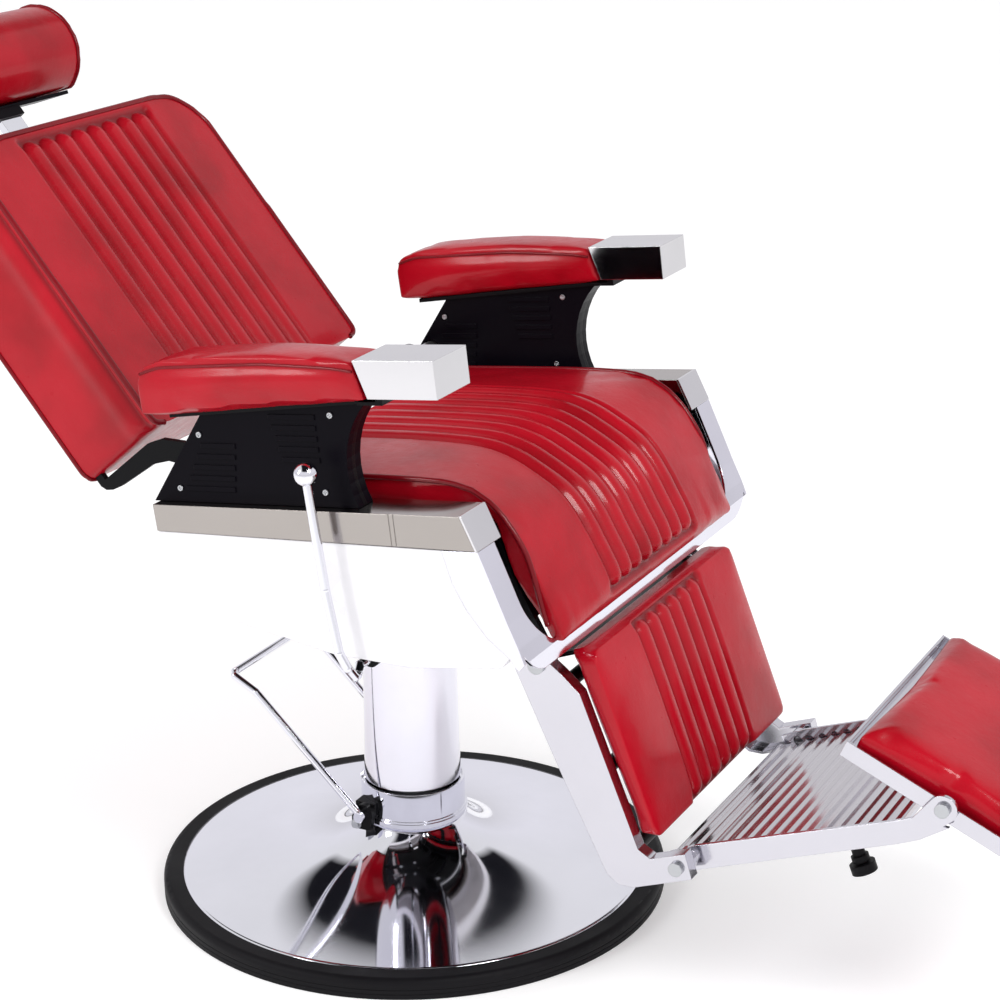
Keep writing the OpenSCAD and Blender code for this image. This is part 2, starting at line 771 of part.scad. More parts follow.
// ---- Foot rest ----
module foot_frame() {
    color(chrome) in_leg() difference() {
        union() {
            both_sides() slab(tread_half_w + 3, tread_half_w + 8) {
                polygon([[66, -284], [66, -258], [100, -255], [346, -262], [372, -262], [410, -280],
                    [372, -288], [346, -289]]);
                hull() {
                    translate(flip_pin) circle(r = 16, $fn = 48);
                    translate([372, -276]) circle(r = 12, $fn = 32);
                }
            }
            both_sides() slab(tread_half_w + 3, leg_half_w - 18.5) translate(foot_pin) circle(r = 13);
            for (x = [80, 205, 336]) block([x - 8, -tread_half_w - 4, -284], [x + 8, tread_half_w + 4, -274]);
        }
        bar_y(foot_pin, 6.05, -230, 230);
        bar_y(flip_pin, 6.05, -230, 230);
    }
}
module foot_tread() {
    pitch = (tread_to - tread_from) / tread_ribs;
    color(chrome) in_leg() {
        block([tread_from, -tread_half_w, -273.9], [tread_to, tread_half_w, tread_z - 3]);
        for (k = [0 : tread_ribs - 1]) {
            x = tread_from + pitch * (k + 0.5);
            slab(-tread_half_w + 4, tread_half_w - 4) polygon([[x - 5, tread_z - 3.1],
                [x - 2, tread_z], [x + 2, tread_z], [x + 5, tread_z - 3.1]]);
        }
    }
}
module foot_bolts() {
    color(steel) in_leg() both_sides() {
        bar_y(foot_pin, 6, 180, leg_half_w + 2);
        bar_y(foot_pin, 8.5, leg_half_w + 0.3, leg_half_w + 5);
    }
}
module floor_stop() {
    color(black) in_leg() {
        translate([206, 0, -376]) cylinder(r = 8, h = 91.9);
        translate([206, 0, -386]) cylinder(r = 16, h = 12);
        translate([206, 0, -372]) cylinder(r = 11, h = 8);
    }
}

// ---- Flip pad ----
module flip_tray() {
    color(chrome) in_flip() difference() {
        block([-127, -tray_half_w, -17], [tray_len - 127, tray_half_w, 3]);
        block([-124, -tray_half_w + 3, -14], [tray_len - 130, tray_half_w - 3, 20]);
        bar_y([0, 0], 6.05, -230, -tray_half_w + 4);
        bar_y([0, 0], 6.05, tray_half_w - 4, 230);
    }
}
module flip_bolts() {
    color(steel) in_flip() both_sides() {
        bar_y([0, 0], 6, tray_half_w - 3.3, tread_half_w + 10);
        bar_y([0, 0], 8.5, tread_half_w + 8.3, tread_half_w + 13);
    }
}
module flip_pad() {
    color(red) in_flip() hull() {
        block([-123, -tray_half_w + 4, -13.5], [tray_len - 131, tray_half_w - 4, 12]);
        block([-106, -tray_half_w + 20, 12], [tray_len - 148, tray_half_w - 20, 26]);
    }
}

base_plate();
base_shell();
rubber_ring();
pump_cylinder();
pump_collar();
ram_bush();
oil_plunger();
pedal_bracket();
bracket_bolts();
pump_pedal();
ram_rod();
ram_piston();
swivel_hub();
column_shroud();
hub_bolts();
seat_frame();
seat_board();
seat_cushion();
side_shell_right();
side_shell_left();
side_rail_right();
side_rail_left();
rail_caps();
front_apron();
arm_frame_right();
arm_frame_left();
outer_cover_right();
outer_cover_left();
inner_cover_right();
inner_cover_left();
cover_screws();
arm_pad_right();
arm_pad_left();
arm_tip_right();
arm_tip_left();
leg_hinge_bolts();
recline_lever();
lever_knob();
recline_shaft();
back_brackets();
back_board();
back_cushion();
back_panel();
headrest_socket();
headrest_post();
headrest_plate();
headrest_roll();
gas_cylinder();
gas_rod();
leg_link();
leg_plate_right();
leg_plate_left();
leg_crossbars();
calf_board();
calf_cushion();
foot_frame();
foot_tread();
foot_bolts();
floor_stop();
flip_tray();
flip_bolts();
flip_pad();
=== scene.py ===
"""Looks for the hydraulic barber chair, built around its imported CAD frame."""
import json
import math

import bmesh
import bpy
import numpy as np
from mathutils import Matrix, Vector
from mathutils.bvhtree import BVHTree


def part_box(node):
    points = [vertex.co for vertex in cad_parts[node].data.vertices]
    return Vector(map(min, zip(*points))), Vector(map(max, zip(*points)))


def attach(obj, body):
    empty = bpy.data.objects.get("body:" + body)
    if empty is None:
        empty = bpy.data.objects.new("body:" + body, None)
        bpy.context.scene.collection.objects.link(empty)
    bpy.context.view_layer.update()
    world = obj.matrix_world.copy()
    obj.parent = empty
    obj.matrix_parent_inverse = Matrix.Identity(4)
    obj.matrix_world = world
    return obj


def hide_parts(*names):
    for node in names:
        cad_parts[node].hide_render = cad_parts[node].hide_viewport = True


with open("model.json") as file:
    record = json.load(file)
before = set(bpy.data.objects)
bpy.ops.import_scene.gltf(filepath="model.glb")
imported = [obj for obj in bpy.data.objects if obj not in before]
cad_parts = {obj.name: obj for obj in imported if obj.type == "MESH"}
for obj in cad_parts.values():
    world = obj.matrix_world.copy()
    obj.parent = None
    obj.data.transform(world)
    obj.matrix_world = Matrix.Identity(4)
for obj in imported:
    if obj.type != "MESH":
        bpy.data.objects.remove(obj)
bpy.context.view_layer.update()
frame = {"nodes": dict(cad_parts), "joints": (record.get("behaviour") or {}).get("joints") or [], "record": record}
scene = bpy.context.scene
STUFFING_FRAMES = 20
RELAX_ROUNDS = 3

# ---------------------------------------------------------------- places in the frame
RAKE = math.radians(6.4)
BACK_LEAN = math.radians(39.7)
LEG_LEAN = math.radians(21.0)
FLIP_LEAN = math.radians(-24.0)


class Space:
    """A leaned frame: +X out of the face, +Y the sitter's left, +Z along it, in metres."""

    def __init__(self, angle, origin):
        c, s = math.cos(angle), math.sin(angle)
        self.turn = np.array([[c, 0, -s], [0, 1, 0], [s, 0, c]])
        self.origin = np.array(origin, float)

    def to_row(self, points):
        return np.asarray(points, float) @ self.turn.T + self.origin

    def to_local(self, points):
        return (np.asarray(points, float) - self.origin) @ self.turn


def joint_at(name):
    for joint in frame["joints"]:
        if joint["name"] == name:
            return np.array(joint["pos_m"], float) * [1, 0, 1]
    raise KeyError(name)


def coords(mesh):
    out = np.empty(len(mesh.vertices) * 3)
    mesh.vertices.foreach_get("co", out)
    return out.reshape(-1, 3)


def set_coords(mesh, points):
    mesh.vertices.foreach_set("co", np.asarray(points, float).ravel())
    mesh.update()


def extent(node, space):
    """Lowest and highest corners of a CAD node in a leaned frame."""
    points = space.to_local(coords(frame["nodes"][node].data))
    return points.min(0), points.max(0)


flat = Space(RAKE, (0, 0, 0))
SEAT = Space(RAKE, joint_at("back_recline") - flat.to_row([-0.112, 0, 0.038]))
LEG = Space(LEG_LEAN, joint_at("leg_lift"))
FLIP = Space(FLIP_LEAN, joint_at("pad_flip"))
leaned = Space(BACK_LEAN, (0, 0, 0))
back_low, back_high = extent("back_cushion", leaned)
BACK = Space(BACK_LEAN, leaned.to_row([back_high[0], 0, back_low[2]]))


# ---------------------------------------------------------------- mesh helpers
def new_object(name, mesh):
    ob = bpy.data.objects.new(name, mesh)
    scene.collection.objects.link(ob)
    return ob


def smooth(mesh):
    mesh.polygons.foreach_set("use_smooth", [True] * len(mesh.polygons))


def node_copy(name, nodes, space, wrapped=False):
    """A welded copy of CAD nodes' meshes, in the leaned frame's coordinates.

    wrapped gives their convex hull instead, one skin around them all.
    """
    bm = bmesh.new()
    for node in nodes:
        bm.from_mesh(frame["nodes"][node].data)
    bmesh.ops.remove_doubles(bm, verts=bm.verts, dist=1e-5)
    if wrapped:
        hull = bmesh.ops.convex_hull(bm, input=bm.verts)
        unused = set(hull["geom_interior"]) | set(hull["geom_unused"]) | set(hull["geom_holes"])
        skin = {f for f in hull["geom"] if isinstance(f, bmesh.types.BMFace)}
        bmesh.ops.delete(bm, geom=[f for f in bm.faces if f not in skin], context="FACES_ONLY")
        loose = [v for v in bm.verts if not v.link_faces or v in unused]
        bmesh.ops.delete(bm, geom=loose, context="VERTS")
    mesh = bpy.data.meshes.new(name)
    bm.to_mesh(mesh)
    bm.free()
    set_coords(mesh, space.to_local(coords(mesh)))
    return new_object(name, mesh)


def bake_modifiers(ob):
    graph = bpy.context.evaluated_depsgraph_get()
    mesh = bpy.data.meshes.new_from_object(ob.evaluated_get(graph))
    ob.modifiers.clear()
    ob.data = mesh
    return ob


def voxels(ob, size):
    m = ob.modifiers.new("voxels", "REMESH")
    m.mode = "VOXEL"
    m.voxel_size = size
    return bake_modifiers(ob)


def subdivided(ob):
    m = ob.modifiers.new("finer", "SUBSURF")
    m.levels = 1
    m.render_levels = 1
    return bake_modifiers(ob)


def normals(mesh):
    out = np.empty(len(mesh.vertices) * 3)
    mesh.vertices.foreach_get("normal", out)
    return out.reshape(-1, 3)


def edge_pairs(mesh):
    out = np.empty(len(mesh.edges) * 2, int)
    mesh.edges.foreach_get("vertices", out)
    return out.reshape(-1, 2)


def relax(points, pairs, rounds, keep):
    """Evens out the points along their edges. keep is 0 where a point may move, 1 where not."""
    count = np.bincount(pairs.ravel(), minlength=len(points))[:, None]
    for _ in range(rounds):
        total = np.zeros_like(points)
        np.add.at(total, pairs[:, 0], points[pairs[:, 1]])
        np.add.at(total, pairs[:, 1], points[pairs[:, 0]])
        points = points + 0.5 * (total / count - points) * (1 - keep)[:, None]
    return points


def to_line(points, line):
    """Distance of each point from a polyline."""
    best = np.full(len(points), 9.0)
    for a, b in zip(line[:-1], line[1:]):
        d = b - a
        t = np.clip((points - a) @ d / max(d @ d, 1e-12), 0, 1)
        best = np.minimum(best, np.linalg.norm(points - a - t[:, None] * d, axis=1))
    return best


def step(x, low, high):
    t = np.clip((x - low) / (high - low), 0, 1)
    return t * t * (3 - 2 * t)


def inflate(ob, sewn, pressure, cap):
    """Stuffs the cushion by cloth simulation while its sewn edges are held.

    cap is the furthest that a point may move.
    """
    rest = coords(ob.data)
    group = ob.vertex_groups.new(name="sewn")
    group.add([int(i) for i in np.flatnonzero(sewn)], 1.0, "REPLACE")
    cloth = ob.modifiers.new("stuffing", "CLOTH")
    settings = cloth.settings
    settings.quality = 4
    settings.mass = 0.3
    settings.tension_stiffness = 12
    settings.compression_stiffness = 12
    settings.shear_stiffness = 5
    settings.bending_stiffness = 0.5
    settings.use_pressure = True
    settings.uniform_pressure_force = pressure
    settings.vertex_group_mass = "sewn"
    settings.effector_weights.gravity = 0
    cloth.collision_settings.use_collision = False
    for f in range(STUFFING_FRAMES + 1):
        scene.frame_set(f)
    moved = coords(ob.evaluated_get(bpy.context.evaluated_depsgraph_get()).data) - rest
    ob.modifiers.clear()
    scene.frame_set(1)
    length = np.linalg.norm(moved, axis=1)
    scale = cap * np.tanh(length / cap) / np.maximum(length, 1e-9)
    set_coords(ob.data, rest + moved * scale[:, None])
    ob.vertex_groups.clear()


def cushion(name, nodes, space, sewn_lines, size=0.005, inset=0.003, pressure=3.0, cap=0.008,
            fit=None, wrapped=False):
    """A stuffed copy of a CAD cushion, in its leaned frame's coordinates.

    size is the voxels', and inset is how far the skin is taken in before the stuffing swells it.
    """
    ob = voxels(node_copy(name, nodes, space, wrapped), size)
    points = coords(ob.data) - normals(ob.data) * inset
    if fit is not None:
        points = fit(points)
    set_coords(ob.data, points)
    near = np.full(len(points), 9.0)
    for line in sewn_lines:
        near = np.minimum(near, to_line(points, np.array(line, float)))
    sewn = near < size * 0.9
    inflate(ob, sewn, pressure, cap)
    points = relax(coords(ob.data), edge_pairs(ob.data), RELAX_ROUNDS, sewn * 0.7)
    set_coords(ob.data, points)
    return subdivided(ob)


def tube(name, space, line, radius, closed=False, sides=10):
    """A round cord of piping along a polyline in a leaned frame."""
    line = np.array(line, float)
    n = len(line)
    verts, faces = [], []
    for i in range(n):
        before = line[i - 1] if closed or i else line[0]
        after = line[(i + 1) % n] if closed or i < n - 1 else line[-1]
        d = Vector(after - before).normalized()
        side = d.orthogonal().normalized() if i == 0 else (side - d * side.dot(d)).normalized()
        up = d.cross(side)
        for k in range(sides):
            a = 2 * math.pi * k / sides
            p = Vector(line[i]) + (side * math.cos(a) + up * math.sin(a)) * radius
            verts.append(p)
    spans = n if closed else n - 1
    for i in range(spans):
        for k in range(sides):
            j = (i + 1) % n
            m = (k + 1) % sides
            faces.append([i * sides + k, j * sides + k, j * sides + m, i * sides + m])
    if not closed:
        faces.append(list(range(sides))[::-1])
        faces.append([(n - 1) * sides + k for k in range(sides)])
    mesh = bpy.data.meshes.new(name)
    mesh.from_pydata(verts, [], faces)
    smooth(mesh)
    set_coords(mesh, space.to_row(coords(mesh)))
    return new_object(name, mesh)


def even(line, gap, closed=False):
    """The polyline with its points about gap apart."""
    line = [np.array(p, float) for p in line]
    if closed:
        line.append(line[0])
    out = []
    for a, b in zip(line[:-1], line[1:]):
        n = max(1, round(np.linalg.norm(b - a) / gap))
        out += [a + (b - a) * k / n for k in range(n)]
    if not closed:
        out.append(line[-1])
    return np.array(out)


def soften(line, rounds, closed=False):
    """Rounds a polyline's corners."""
    line = np.array(line, float)
    for _ in range(rounds):
        mid = (np.roll(line, 1, 0) + 2 * line + np.roll(line, -1, 0)) / 4
        if not closed:
            mid[0], mid[-1] = line[0], line[-1]
        line = mid
    return line


def on_surface(ob, line, lift):
    """Moves a polyline on to the object's surface, lift outside it."""
    tree = BVHTree.FromObject(ob, bpy.context.evaluated_depsgraph_get())
    out = []
    for p in line:
        hit, normal, _, _ = tree.find_nearest(Vector(p))
        out.append(np.array(hit + normal * lift))
    return np.array(out)


def place(ob, space, body, nodes):
    """Puts a cushion made in a leaned frame where it belongs, in the CAD nodes' stead."""
    set_coords(ob.data, space.to_row(coords(ob.data)))
    smooth(ob.data)
    ob.data.materials.clear()
    ob.data.materials.append(LEATHER)
    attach(ob, body)
    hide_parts(*nodes)
    return ob


def trim(ob, body, material):
    ob.data.materials.append(material)
    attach(ob, body)
    return ob


def flutes(across, beyond, count, half):
    """Height of sewn flutes: 1 on a crest, 0 in a seam, with round ends.

    beyond is how far a point lies past the centre of its flute's round end, 0 before it.
    """
    pitch = 2 * half / count
    off = np.abs(np.mod((across + half) / pitch, 1.0) - 0.5) * 2
    reach = np.hypot(off, np.maximum(beyond, 0) / (pitch / 2))
    return 1 - np.clip(reach, 0, 1) ** 2.4


def band(across, half):
    """1 inside a band of flutes, falling to 0 just outside it."""
    return 1 - step(np.abs(across), half - 0.001, half + 0.011)


def paint_groove_shade(ob, depth):
    """Stores how deep in a sewn groove each point lies, as painted shade for the leather to darken there."""
    a = ob.data.attributes.new("seam", "FLOAT", "POINT")
    a.data.foreach_set("value", np.clip(depth, 0, 1).astype(np.float32))


# ---------------------------------------------------------------- materials
def material(name):
    m = bpy.data.materials.new(name)
    m.use_nodes = True
    tree = m.node_tree
    shader = tree.nodes["Principled BSDF"]
    return m, tree, shader


def noise(tree, scale, detail=4.0, rough=0.5):
    where = tree.nodes.get("place") or tree.nodes.new("ShaderNodeTexCoord")
    where.name = "place"
    n = tree.nodes.new("ShaderNodeTexNoise")
    n.inputs["Scale"].default_value = scale
    n.inputs["Detail"].default_value = detail
    n.inputs["Roughness"].default_value = rough
    tree.links.new(where.outputs["Object"], n.inputs["Vector"])
    return n


def ramp(tree, source, stops):
    r = tree.nodes.new("ShaderNodeValToRGB")
    while len(r.color_ramp.elements) < len(stops):
        r.color_ramp.elements.new(0.5)
    for element, (at, colour) in zip(r.color_ramp.elements, stops):
        element.position = at
        element.color = (*colour, 1) if len(colour) == 3 else colour
    tree.links.new(source, r.inputs["Fac"])
    return r


def span(tree, source, low, high, to_low, to_high):
    m = tree.nodes.new("ShaderNodeMapRange")
    for key, value in zip(("From Min", "From Max", "To Min", "To Max"), (low, high, to_low, to_high)):
        m.inputs[key].default_value = value
    tree.links.new(source, m.inputs["Value"])
    return m


def bumped(tree, shader, heights, edge=0.0):
    """Adds bump layers, each (source, strength, distance), over a rounded edge."""
    normal = None
    if edge:
        bevel = tree.nodes.new("ShaderNodeBevel")
        bevel.samples = 4
        bevel.inputs["Radius"].default_value = edge
        normal = bevel.outputs["Normal"]
    for source, strength, distance in heights:
        b = tree.nodes.new("ShaderNodeBump")
        b.inputs["Strength"].default_value = strength
        b.inputs["Distance"].default_value = distance
        tree.links.new(source, b.inputs["Height"])
        if normal is not None:
            tree.links.new(normal, b.inputs["Normal"])
        normal = b.outputs["Normal"]
    tree.links.new(normal, shader.inputs["Normal"])


def leather(name, dark, mid, light):
    m, tree, shader = material(name)
    big = noise(tree, 9, 3)
    fine = noise(tree, 60, 5, 0.6)
    colour = ramp(tree, big.outputs["Fac"], [(0.25, dark), (0.52, mid), (0.8, light)])
    # Painted shade: the 'seam' attribute mixes the leather towards a deep red in the grooves, standing in for
    # their shadow
    seam = tree.nodes.new("ShaderNodeAttribute")
    seam.attribute_name = "seam"
    mix = tree.nodes.new("ShaderNodeMix")
    mix.data_type = "RGBA"
    tree.links.new(span(tree, seam.outputs["Fac"], 0, 1, 0, 0.75).outputs[0], mix.inputs["Factor"])
    tree.links.new(colour.outputs["Color"], mix.inputs["A"])
    mix.inputs["B"].default_value = (dark[0] * 0.35, dark[1] * 0.3, dark[2] * 0.35, 1)
    tree.links.new(mix.outputs["Result"], shader.inputs["Base Color"])
    tree.links.new(span(tree, fine.outputs["Fac"], 0.3, 0.7, 0.27, 0.4).outputs[0],
                   shader.inputs["Roughness"])
    shader.inputs["Coat Weight"].default_value = 0.4
    shader.inputs["Coat Roughness"].default_value = 0.14
    shader.inputs["Specular IOR Level"].default_value = 0.08
    where = tree.nodes["place"]
    grain = tree.nodes.new("ShaderNodeTexVoronoi")
    grain.feature = "DISTANCE_TO_EDGE"
    grain.inputs["Scale"].default_value = 420
    tree.links.new(where.outputs["Object"], grain.inputs["Vector"])
    creases = noise(tree, 22, 6, 0.6)
    bumped(tree, shader, [(creases.outputs["Fac"], 0.35, 0.004),
                          (span(tree, grain.outputs["Distance"], 0, 0.35, 0, 1).outputs[0], 0.12, 0.0006)])
    return m


def metal(name, colour, rough, spread, edge=0.0012, brushed=None):
    m, tree, shader = material(name)
    smudge = noise(tree, 7, 5, 0.6)
    tint = ramp(tree, smudge.outputs["Fac"], [(0.3, [c * 0.94 for c in colour]), (0.7, colour)])
    tree.links.new(tint.outputs["Color"], shader.inputs["Base Color"])
    shader.inputs["Metallic"].default_value = 1.0
    tree.links.new(span(tree, smudge.outputs["Fac"], 0.35, 0.7, rough, rough + spread).outputs[0],
                   shader.inputs["Roughness"])
    if brushed:
        lines = noise(tree, 40, 3)
        stretch = tree.nodes.new("ShaderNodeMapping")
        stretch.inputs["Scale"].default_value = brushed
        tree.links.new(tree.nodes["place"].outputs["Object"], stretch.inputs["Vector"])
        tree.links.new(stretch.outputs["Vector"], lines.inputs["Vector"])
        bumped(tree, shader, [(lines.outputs["Fac"], 0.2, 0.0005)], edge)
    else:
        waves = noise(tree, 5, 1)
        bumped(tree, shader, [(waves.outputs["Fac"], 0.05, 0.004)], edge)
    return m


def moulded(name, colour, rough, coat, grain, shine=0.5, edge=0.0015):
    m, tree, shader = material(name)
    patch = noise(tree, 11, 4)
    tint = ramp(tree, patch.outputs["Fac"], [(0.3, [c * 0.86 for c in colour]), (0.7, colour)])
    tree.links.new(tint.outputs["Color"], shader.inputs["Base Color"])
    tree.links.new(span(tree, patch.outputs["Fac"], 0.3, 0.7, rough * 0.85, rough * 1.15).outputs[0],
                   shader.inputs["Roughness"])
    shader.inputs["Coat Weight"].default_value = coat
    shader.inputs["Coat Roughness"].default_value = 0.08
    shader.inputs["Specular IOR Level"].default_value = shine
    pits = noise(tree, 700, 2)
    bumped(tree, shader, [(pits.outputs["Fac"], grain, 0.0006)], edge)
    return m


def plywood(name):
    m, tree, shader = material(name)
    stretch = tree.nodes.new("ShaderNodeMapping")
    stretch.inputs["Scale"].default_value = (14, 1.6, 14)
    grain = noise(tree, 9, 6, 0.65)
    tree.links.new(tree.nodes["place"].outputs["Object"], stretch.inputs["Vector"])
    tree.links.new(stretch.outputs["Vector"], grain.inputs["Vector"])
    tint = ramp(tree, grain.outputs["Fac"], [(0.3, (0.36, 0.23, 0.12)), (0.7, (0.66, 0.48, 0.28))])
    tree.links.new(tint.outputs["Color"], shader.inputs["Base Color"])
    shader.inputs["Roughness"].default_value = 0.6
    bumped(tree, shader, [(grain.outputs["Fac"], 0.3, 0.001)])
    return m


LEATHER = leather("red_leather", (0.27, 0.001, 0.006), (0.40, 0.002, 0.011), (0.47, 0.004, 0.016))
PIPING = leather("red_piping", (0.14, 0.001, 0.004), (0.18, 0.001, 0.006), (0.23, 0.002, 0.008))
CHROME = metal("chrome", (0.82, 0.82, 0.88), 0.03, 0.05)
# Painted shade: darker copies of the one chrome for the rails, plates, apron, caps and column, standing in for
# their duller reflections
SHADED_RAIL_CHROME = metal("rail_chrome_painted_shade", (0.38, 0.35, 0.33), 0.1, 0.08)
SHADED_PLATE_CHROME = metal("plate_chrome_painted_shade", (0.62, 0.61, 0.66), 0.1, 0.1)
SHADED_APRON_CHROME = metal("apron_chrome_painted_shade", (0.78, 0.77, 0.85), 0.06, 0.06)
SHADED_CAP_CHROME = metal("cap_chrome_painted_shade", (0.68, 0.67, 0.69), 0.05, 0.06)
STEEL = metal("zinc_steel", (0.5, 0.51, 0.53), 0.28, 0.15)
RIBBED = metal("ribbed_aluminium", (0.62, 0.60, 0.63), 0.14, 0.08, 0.0008)
BRONZE = metal("bronze", (0.6, 0.4, 0.18), 0.35, 0.1)
BLACK_PLASTIC = moulded("black_plastic", (0.003, 0.0022, 0.0045), 0.36, 0.0, 0.12, 0.06)
BLACK_PAINT = moulded("black_paint", (0.004, 0.004, 0.005), 0.38, 0.0, 0.1, 0.1)
WHITE = moulded("white_shell", (0.9, 0.89, 0.91), 0.3, 0.3, 0.02)
RUBBER = moulded("black_rubber", (0.006, 0.0055, 0.007), 0.5, 0.0, 0.25, 0.12)
WOOD = plywood("plywood")

FINISH = {
    "chrome": CHROME, "black_plastic": BLACK_PLASTIC, "black_paint": BLACK_PAINT,
    "white_shell": WHITE, "black_rubber": RUBBER, "steel": STEEL, "bronze": BRONZE,
    "plywood": WOOD, "aluminium": RIBBED, "red_leather": LEATHER,
}
# Painted shade: these chrome parts take the darker copies of the chrome in place of their duller reflections
PAINTED_CHROME_SHADES = {
    "side_rail_right": SHADED_RAIL_CHROME, "side_rail_left": SHADED_RAIL_CHROME, "leg_plate_right": SHADED_PLATE_CHROME,
    "leg_plate_left": SHADED_PLATE_CHROME, "foot_frame": SHADED_PLATE_CHROME, "flip_tray": SHADED_PLATE_CHROME, "front_apron": SHADED_APRON_CHROME,
    "arm_tip_right": SHADED_CAP_CHROME, "arm_tip_left": SHADED_CAP_CHROME, "rail_caps": SHADED_CAP_CHROME, "column_shroud": SHADED_APRON_CHROME,
}
for part in frame["record"]["subparts"]:
    node_mesh = frame["nodes"][part["node"]].data
    node_mesh.materials.clear()
    node_mesh.materials.append(PAINTED_CHROME_SHADES.get(part["node"], FINISH[part["material_slot"]]))

# ---------------------------------------------------------------- base
base_low, base_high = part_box("base_shell")
base_points = coords(frame["nodes"]["base_shell"].data)
base_radii = np.hypot(base_points[:, 0], base_points[:, 1])
rim_r = base_radii.max()
neck_z = base_high[2]
neck_r = base_radii[base_points[:, 2] > neck_z - 0.001].max()
ring_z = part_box("rubber_ring")[1][2]


def lathe(name, profile, sides=192):
    """A smooth body turned about Z from a closed outline of radius and height."""
    n = len(profile)
    verts, faces = [], []
    for k in range(sides):
        a = 2 * math.pi * k / sides
        verts += [(r * math.cos(a), r * math.sin(a), z) for r, z in profile]
    for k in range(sides):
        m = (k + 1) % sides
        for i in range(n):
            j = (i + 1) % n
            faces.append([k * n + i, m * n + i, m * n + j, k * n + j])
    mesh = bpy.data.meshes.new(name)
    mesh.from_pydata(verts, [], faces)
    smooth(mesh)
    return new_object(name, mesh)


def flare(t):
    """The trumpet's outline, from the rim at 0 to the neck at 1."""
    r = neck_r + (rim_r - neck_r) * (1 - t)
    rise = (neck_z - ring_z + 0.003) * (neck_r / r) ** 1.15 * (0.25 + 0.75 * t)
    return r, ring_z - 0.003 + rise


skin = [flare(t) for t in np.linspace(0, 1, 49)]
wall = 0.0025
inner = [(r - wall, z - wall) for r, z in skin[::-1]]
inner[0] = (neck_r - wall, neck_z)
trumpet = lathe("base_trumpet", [(rim_r - wall, base_low[2]), (rim_r, base_low[2])] + skin + inner[:-1])
trumpet.data.materials.append(CHROME)
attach(trumpet, "base")
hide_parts("base_shell")

# ---------------------------------------------------------------- back
back_w = back_high[1]
back_h = back_high[2] - back_low[2]
panel_low = extent("back_panel", BACK)[0]
back_t = -panel_low[0]
HIGH_CORNER = 0.075
LOW_CORNER = 0.022
BACK_FLUTES = 8
BACK_FLUTES_HALF = 0.131


def arc(centre_y, centre_z, radius, first, last, x):
    angles = np.radians(np.linspace(first, last, 9))
    return [(x, centre_y + radius * math.cos(a), centre_z + radius * math.sin(a)) for a in angles]


def back_rim(x, inset):
    """The back's whole outline at depth x."""
    w, h = back_w - HIGH_CORNER, back_h - HIGH_CORNER
    v = back_w - LOW_CORNER
    high, low = HIGH_CORNER - inset, LOW_CORNER - inset
    line = arc(-v, LOW_CORNER, low, 270, 180, x) + arc(-w, h, high, 180, 90, x)
    line += arc(w, h, high, 90, 0, x) + arc(v, LOW_CORNER, low, 0, -90, x)
    return line


def close(line):
    return line + [line[0]]


back = cushion("back_pad", ["back_cushion", "back_panel"], BACK,
               [close(back_rim(-0.004, 0.004)), close(back_rim(-back_t + 0.004, 0.004))],
               size=0.0055, inset=0.004, cap=0.012, wrapped=True)
p = coords(back.data)
front = step(p[:, 0], -0.02, -0.006)
top = back_h - 0.017
half = BACK_FLUTES_HALF
pitch = 2 * half / BACK_FLUTES
inside = band(p[:, 1], half) * (1 - step(p[:, 2], top - 0.001, top + 0.009))
inside *= step(p[:, 2], 0.004, 0.014)
crest = flutes(p[:, 1], p[:, 2] - (top - pitch / 2), BACK_FLUTES, half)
p[:, 0] += front * inside * (0.009 * crest - 0.0065)
out_y = np.sign(p[:, 1]) * step(np.abs(p[:, 1]), back_w - 0.02, back_w - 0.006)
out_z = step(p[:, 2], back_h - 0.02, back_h - 0.006)
depth = -p[:, 0]
ridge = np.exp(-((depth - 0.036) / 0.013) ** 2)
groove = np.exp(-((depth - 0.017) / 0.005) ** 2)
boxing = 0.004 * ridge - 0.0035 * groove
p[:, 1] += out_y * boxing
p[:, 2] += out_z * boxing
set_coords(back.data, p)
# Painted shade in the back flutes' grooves and in the boxing groove behind the piping
paint_groove_shade(back, np.maximum(front * inside * (1 - crest) ** 4,
                            0.8 * groove ** 3 * np.maximum(np.abs(out_y), out_z)))
rim = on_surface(back, soften(even(back_rim(-0.004, 0.004), 0.008), 2), 0.0008)
rear_rim = on_surface(back, soften(even(back_rim(-back_t + 0.006, 0.003), 0.008), 2), 0.0004)
place(back, BACK, "back", ["back_cushion", "back_panel"])
trim(tube("back_piping", BACK, rim, 0.0036), "back", PIPING)
trim(tube("back_rear_piping", BACK, rear_rim, 0.0030), "back", PIPING)

# ---------------------------------------------------------------- seat cushion
seat_low, seat_high = extent("seat_cushion", SEAT)
seat_w = seat_high[1]
SEAT_FLUTES = 8
SEAT_FLUTES_HALF = 0.118
LIP_STRIPS = 41
LIP_REACH = 0.06
SEAM = [(-0.078, 0.010), (-0.06, 0.019), (0.099, 0.0187), (0.160, 0.0175), (0.208, 0.0145),
        (0.236, 0.004), (0.252, -0.007), (0.271, -0.031), (0.283, -0.052), (0.292, -0.072),
        (0.300, -0.114), (0.306, -0.150)]


def seat_edge(side):
    return [(x, side * seat_w, z) for x, z in SEAM]


